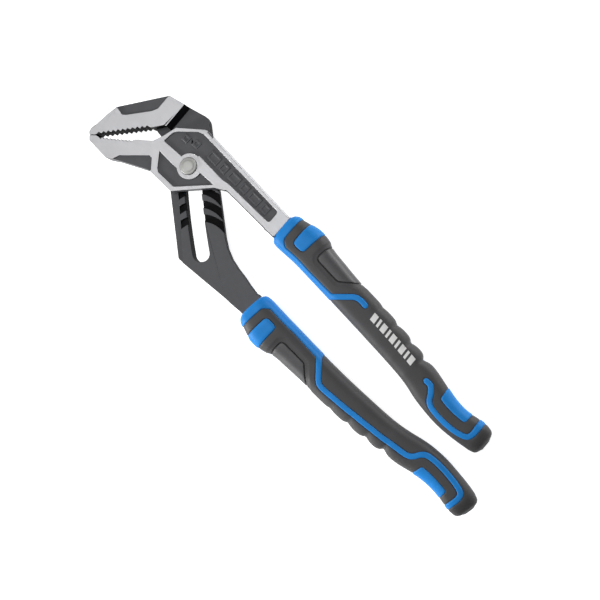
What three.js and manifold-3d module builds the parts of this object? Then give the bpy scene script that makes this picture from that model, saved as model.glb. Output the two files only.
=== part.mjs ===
// Tongue and groove pliers of the 300 mm class, lying flat with the front face up. Millimetres.
// The pieces are made with the pivot's axis as Z, +X from the jaws to the handles, +Y towards the
// front handle and z = 0 where the two forgings meet. At the end everything is shifted, so that the
// origin is the middle of the tool's footprint, at its lowest point.
// The front forging is the lower jaw and the upper handle. The rear forging is the upper jaw, the
// slotted arm with its channels and the lower handle. Both handles carry the same moulded grip,
// turned over on the rear one.
import * as THREE from "three";
import { mergeVertices } from "three/addons/utils/BufferGeometryUtils.js";
import Module from "manifold-3d";

// ---------------------------------------------------------------- driving dimensions
const FACE = 6; // front face of both jaws, and minus this for their back face
const MEET = 0.15; // each forging stands back this far from the plane where they meet
const GAP = 0.3; // clearance between neighbouring pieces
const RECESS = 0.9; // depth of the painted panels

const CHANNELS = 7; // positions of the bolt in the slot
const PITCH = 8.35; // from one channel to the next
const CHANNEL_TURN = THREE.MathUtils.degToRad(1.25); // least swing of the handles for each channel
const SLOT_ANGLE = THREE.MathUtils.degToRad(-41.6); // direction of the slot, from +X
const SLOT_HALF = 4.7; // half the slot's width
const SLOT_SHIFT = 0.6; // of the slot from the bolt's path, away from the jaws
const SLOT_LEAN = 0.9; // the slot's jaw-side wall leans out by this much, from the back to the front
const ARM_LEFT = 15; // arm's jaw-side edge beside the jaws, from the bolt's path
const ARM_CLEARANCE = 0.5; // between that edge and the lower jaw
const LEDGE_FLOOR = -2.1; // height of the lower band along that edge
const GROOVE_RADIUS = 20; // middle of a channel, from its own bolt position
const GROOVE_HALF = 2.1;
const GROOVE_FLOOR = -1.95;
const GROOVE_REACH = THREE.MathUtils.degToRad(60); // each way from the slot's direction
const TONGUE_HALF = 1.7;
const TONGUE_TIP = -1.6;
const MOST_OPENING = THREE.MathUtils.degToRad(57); // turn of the rear forging at its stop

const BOSS_RADIUS = 7.7;
const HEAD_RADIUS = 4.8;
const HEAD_CLEARANCE = 0.4;
const HEAD_SEAT = 3.8; // underside of the bolt's head
const SHANK_RADIUS = 3.8;
const BLOCK_RADIUS = 4.9; // the bolt's flatted block, which slides in the slot
const BLOCK_HALF = 3.8;
const SHANK_CLEARANCE = 0.35;
const WASHER_RADIUS = 8.2;
const NUT_RADIUS = 7.5; // to the hexagon's corners
const NUT_BACK = -10; // lowest point of the tool
const NUT_FRONT = -7.5;
const WASHER_BACK = -7.2;

const GRIP_LENGTH = 170;
const SKIN = 2.6; // thickness of the moulded skin over the core
const CORE_START = 6;
const CORE_END = 163;
const SECTION_EXPONENT = 2.7; // of the superellipse that each section of a grip is
const STRIPE = 3.3; // width of the coloured stripe

const ABOVE = 12; // cuts run out past the faces to this height
const REACH = 60; // side views run this far each way across the tool

const STEEL = { color: 0xc4c4c9, roughness: 0.42, metalness: 0.9 };
const DARK_STEEL = { color: 0x4a4b4f, roughness: 0.5, metalness: 0.6 };
const BOLT_STEEL = { color: 0xc0c0bc, roughness: 0.35, metalness: 0.9 };
const BLACK_RUBBER = { color: 0x3a3a3c, roughness: 0.8, metalness: 0 };
const GREY_RUBBER = { color: 0x4a4a4e, roughness: 0.7, metalness: 0 };
const CORE_PLASTIC = { color: 0x202022, roughness: 0.6, metalness: 0 };
const BLUE_PLASTIC = { color: 0x267acd, roughness: 0.5, metalness: 0 };

// ---------------------------------------------------------------- solids
const wasm = await Module();
wasm.setup();

function solid(geometry) {
  const bare = new THREE.BufferGeometry();
  const flat = geometry.index ? geometry.toNonIndexed() : geometry;
  bare.setAttribute("position", flat.getAttribute("position"));
  const merged = mergeVertices(bare, 1e-4);
  return new wasm.Manifold(
    new wasm.Mesh({
      numProp: 3,
      vertProperties: merged.attributes.position.array,
      triVerts: new Uint32Array(merged.index.array),
    }),
  );
}

function meshOf(name, body, finish) {
  const { vertProperties, triVerts } = body.getMesh();
  const geometry = new THREE.BufferGeometry();
  geometry.setAttribute("position", new THREE.BufferAttribute(vertProperties, 3));
  geometry.setIndex(new THREE.BufferAttribute(triVerts, 1));
  geometry.computeVertexNormals();
  const mesh = new THREE.Mesh(geometry, new THREE.MeshStandardMaterial(finish));
  mesh.name = name;
  return mesh;
}

const join = (first, ...others) => others.reduce((sum, next) => sum.add(next), first);
const cut = (first, ...others) => others.reduce((rest, next) => rest.subtract(next), first);

// A closed outline through corners [x, y, radius]. A corner with a radius is rounded by a curve.
function outline(corners) {
  const shape = new THREE.Shape();
  corners.forEach(([x, y, radius = 0], i) => {
    const corner = new THREE.Vector2(x, y);
    const [bx, by] = corners.at(i - 1);
    const [ax, ay] = corners[(i + 1) % corners.length];
    const before = new THREE.Vector2(bx, by).sub(corner).normalize();
    const after = new THREE.Vector2(ax, ay).sub(corner).normalize();
    const turn = Math.PI - Math.acos(THREE.MathUtils.clamp(before.dot(after), -1, 1));
    const reach = radius * Math.tan(turn / 2);
    const start = corner.clone().addScaledVector(before, reach);
    const end = corner.clone().addScaledVector(after, reach);
    if (i === 0) shape.moveTo(start.x, start.y);
    else shape.lineTo(start.x, start.y);
    if (radius > 0) shape.quadraticCurveTo(x, y, end.x, end.y);
  });
  shape.closePath();
  return shape;
}

// A flat piece: an outline standing from height low to height high.
function prism(shape, low, high, curveSegments = 3) {
  const options = { depth: high - low, bevelEnabled: false, curveSegments };
  return solid(new THREE.ExtrudeGeometry(shape, options).translate(0, 0, low));
}

// A side view, given as corners [x, z], that runs along Y between two places.
function sideView(corners, fromY, toY) {
  const shape = new THREE.Shape(corners.map(([x, z]) => new THREE.Vector2(x, z)));
  const options = { depth: toY - fromY, bevelEnabled: false };
  const geometry = new THREE.ExtrudeGeometry(shape, options).rotateX(Math.PI / 2);
  return solid(geometry.translate(0, toY, 0));
}

function disc(radius, low, high, sides = 32) {
  const geometry = new THREE.CylinderGeometry(radius, radius, high - low, sides);
  return solid(geometry.rotateX(Math.PI / 2).translate(0, 0, (low + high) / 2));
}

function lathe(profile, sides = 32) {
  const points = profile.map(([radius, z]) => new THREE.Vector2(radius, z));
  return solid(new THREE.LatheGeometry(points, sides).rotateX(Math.PI / 2));
}

function arcBand(x, y, inner, outer, from, to) {
  const shape = new THREE.Shape();
  shape.absarc(x, y, outer, from, to, false);
  shape.absarc(x, y, inner, to, from, true);
  shape.closePath();
  return shape;
}

// Corners of a row of teeth from a to b. The tips lie on the line, the roots to its left.
function teeth([ax, ay], [bx, by], count, depth) {
  const along = new THREE.Vector2(bx - ax, by - ay).divideScalar(count);
  const left = new THREE.Vector2(-along.y, along.x).normalize().multiplyScalar(depth);
  const corners = [];
  for (let i = 0; i < count; i++) {
    const x = ax + along.x * i;
    const y = ay + along.y * i;
    corners.push([x, y], [x + along.x * 0.42 + left.x, y + along.y * 0.42 + left.y]);
  }
  corners.push([bx, by]);
  return corners;
}

// A place on the arm: u along the slot from the rest position of the bolt, v towards the jaw side.
function onArm(u, v) {
  const x = u * Math.cos(SLOT_ANGLE) + v * Math.sin(SLOT_ANGLE);
  const y = u * Math.sin(SLOT_ANGLE) - v * Math.cos(SLOT_ANGLE);
  return [x, y];
}

// ---------------------------------------------------------------- handles
// Each grip is laid out along its handle's middle line: s from the collar's mouth to the tail, and
// t across, positive towards the outer edge. Its hook face looks up on the front handle, and down
// on the rear one, where the same moulding is turned over. The rear grip swells a little more at its
// collar than the front one.
function handle(middle, outward, swell, tangWidths) {
  const line = new THREE.SplineCurve(middle.map(([x, y]) => new THREE.Vector2(x, y)));
  line.arcLengthDivisions = 400;
  const place = (s, t) => {
    const share = THREE.MathUtils.clamp(s / GRIP_LENGTH, 0, 1);
    const point = line.getPointAt(share);
    const along = line.getTangentAt(share);
    const beyond = s - share * GRIP_LENGTH;
    return new THREE.Vector2(
      point.x + along.x * beyond - along.y * t * outward,
      point.y + along.y * beyond + along.x * t * outward,
    );
  };
  return { place, outward, swell, tangWidths };
}

const FRONT_HANDLE = handle(
  [[66.4, 9.4], [81, 9.7], [93, 8.8], [119, 5.4], [143, 3.1], [165, 0.4], [180, -2], [192, -5],
    [204, -7.4], [214, -7.9], [225, -6.8], [234, -6.4]],
  1,
  -0.7,
  [[-8, 7.45], [0.6, 7.4], [8, 5.4], [40, 4.9], [84, 4.2]],
);
const REAR_HANDLE = handle(
  [[82.7, -36.2], [95, -37.6], [108, -38.4], [131, -39], [150, -39.8], [164, -40], [185, -39.5],
    [200, -38], [212, -35.9], [222, -35.2], [232, -36], [239.6, -37.3], [251.3, -39.7]],
  -1,
  0.9,
  [[-3, 7.3], [0.6, 7.2], [8, 5.4], [40, 4.9], [84, 4.2]],
);

// The steel tang that a grip is moulded on, between two heights, with growth all round.
function tang({ place, tangWidths }, low, high, growth) {
  const points = [];
  for (const [s, half] of tangWidths) points.push(place(s, half + growth));
  for (const [s, half] of tangWidths.toReversed()) points.push(place(s, -half - growth));
  const last = tangWidths.length - 1;
  const [tip, half] = tangWidths[last];
  points.splice(last + 1, 0, place(tip + growth, half + growth), place(tip + growth, -half - growth));
  return prism(new THREE.Shape(points), low, high);
}

// A side view with the gap added above and below. Its first half of corners is the underside.
function roomAround(view) {
  return view.map(([x, z], i) => [x, i < view.length / 2 ? z - GAP : z + GAP]);
}

// ---------------------------------------------------------------- front forging: lower jaw, upper handle
const FRONT_SIDE_VIEW = [
  [-70, MEET], [66, MEET], [73, -2.8], [170, -2.8], [170, 3], [73, 3], [66, FACE], [-70, FACE],
];

function frontForging() {
  const body = outline([
    [-23.8, 3.3, 1], [-25.2, 0.2, 1.5], [-26.8, -3, 2], [-29.6, -5, 2], [-33.4, -7.6, 2], [-35.6, -9.4],
    ...teeth([-36.2, -10.3], [-54, -22.4], 9, 1.1),
    [-55.75, -22.75], [-59.05, -25.35, 0.4], [-56.9, -27.7, 1.2], [-42.3, -28.9, 1.5],
    [-37, -25.8, 2], [-17.3, -17.2, 5], [1.6, -17.9, 1.5], [20.3, 0.5, 4], [27, 3.9, 5], [65.9, 1.7],
    [65.9, 16.55], [0, 22.4, 6], [-5.8, 22.9, 3], [-20.9, 12, 2],
  ]);
  const upperPanel = outline([
    [-21.4, 1.6, 0.6], [-20.3, 8.6, 1], [-18.6, 10.9, 1], [-8.6, 18.9, 1.5], [-5.4, 19.9, 1.5],
    [58.6, 14.6, 2], [58.8, 6.2, 2], [25.2, 7.7, 1.5], [20.5, 7.1, 1.5], [1, 8.7], [-3, 2], [-6.5, 1.6],
  ]);
  const lowerPanel = outline([
    [-19.4, -4.6], [-7, -5.4, 0.5], [-3, -5], [3, 1.7], [18.8, 1.6, 0.4], [1.2, -14.8, 1.5],
    [-11.6, -14.4, 1], [-13.6, -12.9, 1],
  ]);
  const jawPanel = outline([
    [-38.2, -26.2], [-36.6, -22.4, 0.8], [-22.3, -10.5, 0.8], [-20.6, -10.4, 0.8], [-16, -16.2, 0.5],
    [-18.5, -24], [-30, -32], [-40, -30],
  ]);
  const boss = disc(BOSS_RADIUS, 0, FACE, 40).translate([0.5, 0.3, 0]);
  const floor = FACE - RECESS;
  const headPanels = join(prism(upperPanel, floor, ABOVE), prism(lowerPanel, floor, ABOVE));
  const panels = join(headPanels.subtract(boss), prism(jawPanel, floor, ABOVE));

  const block = prism(body, -FACE, FACE);
  const sides = sideView(FRONT_SIDE_VIEW, -REACH, REACH);
  const jaw = block.intersect(prism(outline(jawBlockLimits()), -FACE, FACE));
  const tangPart = tang(FRONT_HANDLE, -FACE, FACE, 0).intersect(sides);
  const solidParts = cut(join(block.intersect(sides), tangPart, jaw, tongue()), panels);
  return cut(join(solidParts, ...sizeFrames(floor)), boltHole());
}

// The curved rib on the inner face, which sits in one of the channels.
function tongue() {
  const from = THREE.MathUtils.degToRad(103);
  const to = THREE.MathUtils.degToRad(168);
  const band = arcBand(0, 0, GROOVE_RADIUS - TONGUE_HALF, GROOVE_RADIUS + TONGUE_HALF, from, to);
  return prism(band, TONGUE_TIP, 1, 12);
}

function boltHole() {
  const seat = disc(HEAD_RADIUS + HEAD_CLEARANCE, HEAD_SEAT - GAP, ABOVE, 40);
  return seat.add(disc(SHANK_RADIUS + GAP, -1, HEAD_SEAT));
}

// Behind the meeting plane the lower jaw keeps clear of the arm, from closed to fully open: one
// limit runs beside the arm's edge at rest, the other where that edge stops when fully open.
function jawBlockLimits() {
  const reach = ARM_LEFT + ARM_CLEARANCE;
  const stop = SLOT_ANGLE - Math.PI / 2 - MOST_OPENING;
  const half = MOST_OPENING / 2;
  const middle = SLOT_ANGLE - Math.PI / 2 - half;
  const knee = [(reach / Math.cos(half)) * Math.cos(middle), (reach / Math.cos(half)) * Math.sin(middle)];
  const depth = 30;
  const low = [knee[0] - Math.sin(stop) * depth, knee[1] + Math.cos(stop) * depth];
  return [onArm(-17.4, reach), knee, low, [-70, -40], [-70, 0.6]];
}

// Plain raised frames on the floor of the upper panel: a row of six along the handle, wide and
// narrow by turns, and two small ones beside the boss.
function sizeFrames(floor) {
  const frames = [raisedFrame(4.4, 4.2, -12, 11.2, floor), raisedFrame(4.4, 4.2, -5, 12.8, floor)];
  const spacing = 2;
  let start = 4.5;
  for (let i = 0; i < 6; i++) {
    const width = i % 2 ? 5.2 : 8;
    const middle = start + width / 2;
    frames.push(raisedFrame(width, 5.4, middle, 13.9 - middle * 0.06, floor));
    start += width + spacing;
  }
  return frames;
}

function raisedFrame(width, height, x, y, floor) {
  const [stroke, thickness, tilt] = [1.1, 0.6, -0.06];
  const outer = new THREE.BoxGeometry(width, height, thickness);
  const inner = new THREE.BoxGeometry(width - 2 * stroke, height - 2 * stroke, 2 * thickness);
  const placed = (geometry) => solid(geometry.rotateZ(tilt).translate(x, y, floor + 0.1));
  return cut(placed(outer), placed(inner));
}

// ---------------------------------------------------------------- rear forging: upper jaw, arm, lower handle
const REAR_SIDE_VIEW = [
  [-70, -FACE], [67, -FACE], [73, -3], [175, -3], [175, 2.8], [73, 2.8], [67, -MEET], [-70, -MEET],
];

function rearForging() {
  const arm = outline([
    [-29.8, 2.6], onArm(-19.6, ARM_LEFT), [29.6, -45.2, 2], [80.5, -43.1], [80.5, -29.3],
    [50.7, -23.9, 38], [-9.7, 27.3, 2.5], [-12.8, 28.4, 3], [-26.2, 25.6], [-34, 20], [-34, 4],
  ]);
  const jaw = outline([
    [-26.2, 25.6, 0.5], [-37, 23.6, 1.5], [-57.3, -1.6, 1.5], [-58.9, -9, 5], [-60.2, -18.5, 4],
    [-60.9, -23.5, 1.3], [-59.3, -25.1, 0.3], [-56.3, -22.7],
    ...teeth([-55.8, -21.9], [-33.4, 2.1], 11, 1.2), [-32.4, 2.6], [-27.6, 8.5, 1.5],
  ]);
  const panel = outline([
    [-37, 28], [-37, 13.4, 2], [-39, 9.9, 2], [-49.4, -1.6, 1.5], [-51.6, -3.2, 1.2],
    [-58.4, -1.7], [-64, 6], [-50, 28],
  ]);
  const block = prism(arm, -FACE, FACE);
  const sides = sideView(REAR_SIDE_VIEW, -REACH, REACH);
  const tangPart = tang(REAR_HANDLE, -FACE, FACE, 0).intersect(sides);
  const rampView = [[-27, -1], [-27, FACE], [-26.2, FACE], [-24, -MEET], [-24, -1]];
  const ramp = block.intersect(sideView(rampView, 8.8, 30));
  const blank = join(block.intersect(sides), tangPart, prism(jaw, -FACE, FACE), ramp);
  return cut(blank, prism(panel, FACE - RECESS, ABOVE), slot(), ledge(), ...channels());
}

// The bolt's path along the arm. It is a very shallow arc, 0.4 mm off straight, about a centre far
// out on the handles' side: as the rear forging turns about that centre, the bolt goes from
// channel to channel and the handles swing apart by the least turn that they need there.
const SLOT_RADIUS = PITCH / CHANNEL_TURN;
const HALF_SWEEP = ((CHANNELS - 1) * CHANNEL_TURN) / 2;
const SLOT_START = SLOT_ANGLE - Math.PI / 2 - HALF_SWEEP; // direction of the rest position
const SLOT_CENTRE = [-SLOT_RADIUS * Math.cos(SLOT_START), -SLOT_RADIUS * Math.sin(SLOT_START)];

// The place of the bolt for a channel, counted from 0, and fractions of a channel between them.
function boltPlace(channel, inwards = 0) {
  const direction = SLOT_START + channel * CHANNEL_TURN;
  const radius = SLOT_RADIUS - inwards;
  return [SLOT_CENTRE[0] + radius * Math.cos(direction), SLOT_CENTRE[1] + radius * Math.sin(direction)];
}

function slot() {
  const spare = 1.35 / PITCH;
  const from = SLOT_START - spare * CHANNEL_TURN;
  const to = SLOT_START + (CHANNELS - 1 + spare) * CHANNEL_TURN;
  const middle = SLOT_RADIUS - SLOT_SHIFT;
  const last = boltPlace(CHANNELS - 1 + spare, SLOT_SHIFT);
  const first = boltPlace(-spare, SLOT_SHIFT);
  const shape = new THREE.Shape();
  shape.absarc(...SLOT_CENTRE, middle + SLOT_HALF, from, to, false);
  shape.absarc(...last, SLOT_HALF, to, to + Math.PI, false);
  shape.absarc(...SLOT_CENTRE, middle - SLOT_HALF, to, from, true);
  shape.absarc(...first, SLOT_HALF, from + Math.PI, from + 2 * Math.PI, false);
  const straight = prism(shape, -ABOVE, 2, 10);
  return straight.add(leaning(prism(shape, -FACE - 1, 2, 10)));
}

// The same solid leaning towards the jaw side, by SLOT_LEAN over the arm's thickness.
function leaning(upright) {
  const lean = SLOT_LEAN / FACE;
  const [x, y] = onArm(0, lean);
  const shear = new THREE.Matrix4().set(1, 0, x, x * FACE, 0, 1, y, y * FACE, 0, 0, 1, 0, 0, 0, 0, 1);
  return upright.transform(shear.elements);
}

// The lower band along the arm's jaw-side edge, on the stretch that the front forging leaves bare.
function ledge() {
  const corners = [onArm(4, 9.2), onArm(4, 20), onArm(62, 20), onArm(62, 16), onArm(54, 10.9)];
  return prism(outline(corners), LEDGE_FLOOR, 2);
}

// Curved channels, one for each bolt position and centred on it, so the tongue turns in any of them.
function channels() {
  const from = SLOT_ANGLE + Math.PI - GROOVE_REACH;
  const to = SLOT_ANGLE + Math.PI + GROOVE_REACH;
  const cuts = [];
  for (let i = 0; i < CHANNELS; i++) {
    const [x, y] = boltPlace(i);
    const band = arcBand(x, y, GROOVE_RADIUS - GROOVE_HALF, GROOVE_RADIUS + GROOVE_HALF, from, to);
    cuts.push(prism(band, GROOVE_FLOOR, 2, 12));
  }
  return cuts;
}

// ---------------------------------------------------------------- pivot
function bolt() {
  const turned = lathe([
    [0, NUT_BACK + 0.2], [SHANK_RADIUS - 0.5, NUT_BACK + 0.2], [SHANK_RADIUS, NUT_BACK + 0.7],
    [SHANK_RADIUS, HEAD_SEAT], [HEAD_RADIUS, HEAD_SEAT], [HEAD_RADIUS, 6.4], [4.3, 6.95],
    [2.4, 7.3], [0, 7.4],
  ]);
  const along = SLOT_START + Math.PI / 2;
  const flats = solid(new THREE.BoxGeometry(20, 2 * BLOCK_HALF, 20).rotateZ(along));
  return turned.add(disc(BLOCK_RADIUS, -FACE - 0.2, -MEET - GAP).intersect(flats));
}

function washer() {
  const plate = disc(WASHER_RADIUS, WASHER_BACK, -FACE - GAP, 36);
  return plate.subtract(disc(SHANK_RADIUS + SHANK_CLEARANCE, -ABOVE, 0));
}

function nut() {
  const hexagon = disc(NUT_RADIUS, NUT_BACK, NUT_FRONT, 6);
  const clear = NUT_RADIUS + 0.1;
  const chamfers = lathe([
    [0, NUT_BACK], [6.6, NUT_BACK], [clear, NUT_BACK + 0.6], [clear, NUT_FRONT - 0.5],
    [6.8, NUT_FRONT], [0, NUT_FRONT],
  ], 36);
  return hexagon.intersect(chamfers).subtract(disc(SHANK_RADIUS + SHANK_CLEARANCE, -ABOVE, 0));
}

// ---------------------------------------------------------------- grips
// A smooth value along the grip, through the stops [s, value].
function profile(stops) {
  const places = stops.map(([s]) => s);
  const values = stops.map(([, value]) => value);
  const curve = new THREE.CubicInterpolant(places, values, 1);
  return (s) => curve.evaluate(s)[0];
}

const outerEdge = profile([
  [0, 8.6], [1, 10], [3, 11.3], [7, 12], [11, 12.9], [15.5, 13.6], [20, 13.5], [24, 12.8], [28, 11.6],
  [40, 11], [56, 10.7], [80, 10.6], [110, 10], [125, 10.1], [140, 9.5], [150, 9.2], [160, 9.5],
  [165, 9.1], [168.4, 7.2], [170, 3.4],
]);
const innerEdge = profile([
  [0, 8.6], [1, 10], [3, 10.7], [7, 11], [25, 10.9], [50, 9.9], [80, 9.8], [110, 9.3], [125, 9.6],
  [140, 8.9], [150, 8.5], [160, 8.6], [165, 8.2], [168.4, 6.6], [170, 3.2],
]);
const halfThickness = profile([
  [0, 6.8], [1, 8.1], [3, 8.8], [7, 9], [20, 8.8], [40, 8.4], [80, 8.1], [120, 7.8], [150, 7.5],
  [160, 7.2], [165, 6.5], [168.4, 4.6], [170, 2],
]);

// Finger notches in the outer edge: [place, depth].
const NOTCHES = [[73.1, 0.7], [85.8, 1.3], [98.5, 1.8], [110.2, 2.5]];
const NOTCH_LENGTH = 3.4;
const SWELL_PLACE = 12; // of the collar's swell
const SWELL_LENGTH = 9;

function outerEdgeOf({ swell }, s) {
  let edge = outerEdge(s) + swell * Math.exp(-(((s - SWELL_PLACE) / SWELL_LENGTH) ** 2));
  for (const [at, depth] of NOTCHES) edge -= depth * Math.exp(-(((s - at) / NOTCH_LENGTH) ** 2));
  return edge;
}

const GRIP_STATIONS = [
  0, 1, 3, 7, 11, 15.5, 20, 24, 28, 40, 56, 70, 73.1, 76, 83, 85.8, 88.6, 92, 95.5, 98.5, 101.5, 105,
  108, 111, 114, 118, 125, 133, 142, 151, 160, 165, 168.4, 170,
];
const OUTER_SIDES = 12;
const CORE_SIDES = 8;
const CORE_STATIONS = [CORE_START, 14, 24, 40, 62, 84, 104, 116, 130, 146, 158, CORE_END];

// A rounded bar along the grip, inset from its surface. Each section is a superellipse.
function gripBar(hand, stations, sides, inset, shift = 0) {
  const { place, outward } = hand;
  const positions = [];
  const roundness = 2 / SECTION_EXPONENT;
  const bend = (value) => Math.sign(value) * Math.abs(value) ** roundness;
  for (const s of stations) {
    const outer = outerEdgeOf(hand, s) - inset;
    const inner = innerEdge(s) - inset;
    const half = halfThickness(s) - inset;
    const station = s + shift * ((s === stations.at(-1)) - (s === stations[0]));
    for (let i = 0; i < sides; i++) {
      const angle = (i / sides) * 2 * Math.PI;
      const t = (outer - inner) / 2 + ((outer + inner) / 2) * bend(Math.cos(angle));
      const { x, y } = place(station, t);
      positions.push(x, y, half * bend(Math.sin(angle)) * outward);
    }
  }
  const faces = [];
  for (let k = 0; k + 1 < stations.length; k++) {
    for (let i = 0; i < sides; i++) {
      const [a, b] = [k * sides + i, k * sides + ((i + 1) % sides)];
      faces.push(a, b, b + sides, a, b + sides, a + sides);
    }
  }
  const last = (stations.length - 1) * sides;
  for (let i = 1; i + 1 < sides; i++) faces.push(0, i + 1, i, last, last + i, last + i + 1);
  const geometry = new THREE.BufferGeometry();
  geometry.setAttribute("position", new THREE.Float32BufferAttribute(positions, 3));
  geometry.setIndex(faces);
  const bar = solid(geometry);
  return bar.volume() > 0 ? bar : solid(turnedInsideOut(geometry));
}

function turnedInsideOut(geometry) {
  const turned = geometry.clone();
  const index = turned.index.array;
  for (let i = 0; i < index.length; i += 3) [index[i + 1], index[i + 2]] = [index[i + 2], index[i + 1]];
  return turned;
}

// A zone of the grip's surface, given by corners [s, t, radius]: its points on the tool, moved
// outwards by growth, standing through one face or both.
function zone(hand, points, growth, face = "both") {
  const placed = points.map(({ x, y }) => hand.place(x, y));
  const area = THREE.ShapeUtils.area(placed);
  const moved = placed.map((point, i) => {
    const before = point.clone().sub(placed.at(i - 1)).normalize();
    const after = placed[(i + 1) % placed.length].clone().sub(point).normalize();
    const bisector = before.clone().add(after).normalize();
    const out = new THREE.Vector2(bisector.y, -bisector.x).multiplyScalar(Math.sign(area));
    return point.clone().addScaledVector(out, growth / Math.max(0.5, bisector.dot(before)));
  });
  const overlap = 0.3;
  const low = face === "hook" ? -overlap : -20;
  const high = face === "stripe" ? overlap : 20;
  const [bottom, top] = hand.outward > 0 ? [low, high] : [-high, -low];
  return prism(new THREE.Shape(moved), bottom - growth, top + growth);
}

const corners = (list) => outline(list).getPoints(2).slice(0, -1);

// A stripe of even width along a smooth path of places [s, t], with a rounded first end.
function stripe(path, steps) {
  const line = new THREE.SplineCurve(path.map(([s, t]) => new THREE.Vector2(s, t)));
  const left = [];
  const right = [];
  for (let i = 0; i <= steps; i++) {
    const point = line.getPointAt(i / steps);
    const along = line.getTangentAt(i / steps);
    const across = new THREE.Vector2(-along.y, along.x).multiplyScalar(STRIPE / 2);
    left.push(point.clone().add(across));
    right.push(point.clone().sub(across));
  }
  return [...left, ...right.reverse()];
}

const COLLAR_AND_RAIL = corners([
  [-3, 16], [5.6, 16], [5.8, -4.6, 2.5], [9, -7.7, 2], [30, -7.6], [48.6, -6.3], [51.6, -16],
  [-3, -16],
]);
const HOOK = stripe([
  [66.5, 3.7], [62.3, 3.8], [58.8, 2.5], [54.4, -2], [49.6, -7.4], [46.5, -11],
], 8);
const LONG_STRIPE = stripe([
  [46.5, -11], [49.6, -7.4], [54.4, -2], [58.6, 2.6], [62.4, 4], [70, 3.6], [85, 2.8], [100, 2.2],
  [115, 2], [123, 2.2], [126.6, 0.6], [129.4, -2.4], [133, -4.1], [143, -4], [153, -3.6],
  [158.4, -2.7], [160.4, 0.4], [160.6, 6], [160.6, 14],
], 28);
const TAIL_LOOP = stripe([
  [120.6, 2.2], [124, 2.8], [127.6, 0.4], [130.6, -2.8], [134.4, -4.4], [143, -4.4], [153, -3.9],
  [158.4, -2.7], [160.4, 0.4], [160.6, 6], [160.6, 14],
], 16);
const BUTTON = corners([[11.2, -3.2, 3], [19.8, -3.2, 3], [20, 18], [11, 18]]);
const THUMB_PAD = corners([
  [28.4, 16], [27.3, 8, 2], [27.4, 0.3, 2.5], [45.4, 1, 2.5], [57.5, 13], [57.5, 16],
]);
const TAIL_PATCH = corners([[128.6, 16], [133.5, 3, 1.5], [153.4, 3.4, 1.5], [154.8, 16]]);

// The pieces of one grip, by name.
function grip(hand, forgingView) {
  const grown = sideView(roomAround(forgingView), -REACH, REACH);
  const tangSpace = tang(hand, -FACE - GAP, FACE + GAP, GAP).intersect(grown);
  const shell = cut(
    gripBar(hand, GRIP_STATIONS, OUTER_SIDES, 0),
    gripBar(hand, CORE_STATIONS, CORE_SIDES, SKIN - GAP, GAP),
    tangSpace,
  );
  const half = GAP / 2;
  const stripeZone = (growth) =>
    join(
      zone(hand, COLLAR_AND_RAIL, growth),
      zone(hand, HOOK, growth, "hook"),
      zone(hand, TAIL_LOOP, growth, "hook"),
      zone(hand, LONG_STRIPE, growth, "stripe"),
    );
  const inset = (points) => shell.intersect(zone(hand, points, -half));
  const left = (points) => zone(hand, points, half);
  return {
    core: gripBar(hand, CORE_STATIONS, CORE_SIDES, SKIN).subtract(tangSpace),
    collar_stripe: shell.intersect(stripeZone(-half)),
    sleeve: cut(shell, stripeZone(half), left(BUTTON), left(THUMB_PAD), left(TAIL_PATCH)),
    button: inset(BUTTON),
    thumb_pad: inset(THUMB_PAD),
    tail_patch: inset(TAIL_PATCH),
  };
}

const GRIP_FINISHES = {
  core: CORE_PLASTIC,
  collar_stripe: BLUE_PLASTIC,
  sleeve: BLACK_RUBBER,
  button: BLUE_PLASTIC,
  thumb_pad: GREY_RUBBER,
  tail_patch: BLUE_PLASTIC,
};

// ---------------------------------------------------------------- assembly
const tool = new THREE.Group();
tool.add(meshOf("lower_jaw_handle", frontForging(), STEEL));
tool.add(meshOf("upper_jaw_handle", rearForging(), DARK_STEEL));
tool.add(meshOf("pivot_bolt", bolt(), BOLT_STEEL));
tool.add(meshOf("pivot_washer", washer(), BOLT_STEEL));
tool.add(meshOf("pivot_nut", nut(), BOLT_STEEL));
for (const [prefix, hand, view] of [
  ["front_grip", FRONT_HANDLE, FRONT_SIDE_VIEW],
  ["rear_grip", REAR_HANDLE, REAR_SIDE_VIEW],
]) {
  for (const [piece, body] of Object.entries(grip(hand, view))) {
    tool.add(meshOf(`${prefix}_${piece}`, body, GRIP_FINISHES[piece]));
  }
}

const extent = new THREE.Box3().setFromObject(tool);
const middle = extent.getCenter(new THREE.Vector3());
tool.position.set(-middle.x, -middle.y, -extent.min.z);

const pliers = new THREE.Group();
pliers.add(tool);
export default pliers;
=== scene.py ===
"""Looks for the tongue and groove pliers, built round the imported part.

Lengths in the tables are millimetres in the tool's own frame: the bolt's axis is Z, +X runs from the
jaws to the handles, +Y is the front handle's side, and z = 0 is where the two forgings meet. at()
takes them to the frame, in metres.
"""

import math

import bmesh
import bpy
import numpy as np
from mathutils import Matrix, Vector


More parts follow.
